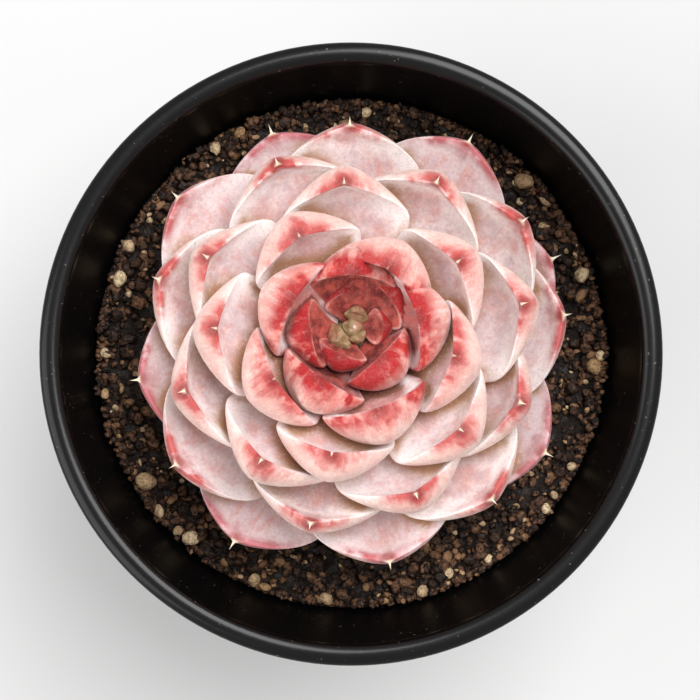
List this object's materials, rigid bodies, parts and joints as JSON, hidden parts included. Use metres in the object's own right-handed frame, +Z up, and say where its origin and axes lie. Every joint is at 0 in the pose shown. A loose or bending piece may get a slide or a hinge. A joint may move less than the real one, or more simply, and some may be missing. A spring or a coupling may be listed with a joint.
{
  "type": "potted red velvet echeveria",
  "caption": "Compact rosette succulent with thick incurved pale pink leaves, red round the heart and tipped with small thorns, in soil in a round black tapered pot.",
  "frame": {"origin": "centre of the pot's underside, on the surface that the pot stands on", "axes": "+Z up along the pot's axis, +Y towards the side that the rosette leans to, +X to the right as seen from above with +Y away"},
  "size_m": [0.11, 0.11, 0.1042],
  "materials": {
    "pot_plastic": "satin moulded black plastic",
    "potting_mix": "moist dark crumbs with pale grains",
    "young_leaf": "waxy red under a thin powdery bloom",
    "grown_leaf": "powdery white-pink bloom, red at the tip",
    "old_leaf": "powdery greyish pink bloom",
    "heart_flesh": "waxy greenish beige",
    "stem_skin": "dull"
  },
  "bodies": {
    "root": {"pot": "pot_plastic", "soil": "potting_mix", "stem": "stem_skin", "heart_bud": "heart_flesh", "leaf_05": "young_leaf", "leaf_06": "young_leaf", "leaf_07": "young_leaf", "leaf_08": "young_leaf", "leaf_09": "young_leaf", "leaf_10": "young_leaf", "leaf_11": "young_leaf", "leaf_12": "young_leaf", "leaf_13": "young_leaf", "leaf_14": "young_leaf", "leaf_15": "young_leaf", "leaf_16": "grown_leaf", "leaf_17": "grown_leaf", "leaf_18": "grown_leaf", "leaf_19": "grown_leaf", "leaf_20": "grown_leaf", "leaf_21": "grown_leaf", "leaf_22": "grown_leaf", "leaf_23": "grown_leaf", "leaf_24": "grown_leaf", "leaf_25": "grown_leaf", "leaf_26": "grown_leaf", "leaf_27": "grown_leaf", "leaf_28": "grown_leaf", "leaf_29": "grown_leaf", "leaf_30": "grown_leaf", "leaf_31": "grown_leaf", "leaf_32": "grown_leaf", "leaf_33": "grown_leaf", "leaf_34": "grown_leaf", "leaf_35": "grown_leaf", "leaf_36": "grown_leaf", "leaf_37": "grown_leaf", "leaf_38": "old_leaf", "leaf_39": "old_leaf", "leaf_40": "old_leaf", "leaf_41": "old_leaf", "leaf_42": "old_leaf", "leaf_43": "old_leaf", "leaf_44": "old_leaf", "leaf_45": "old_leaf", "leaf_46": "old_leaf", "leaf_47": "old_leaf"}
  },
  "joints": []
}
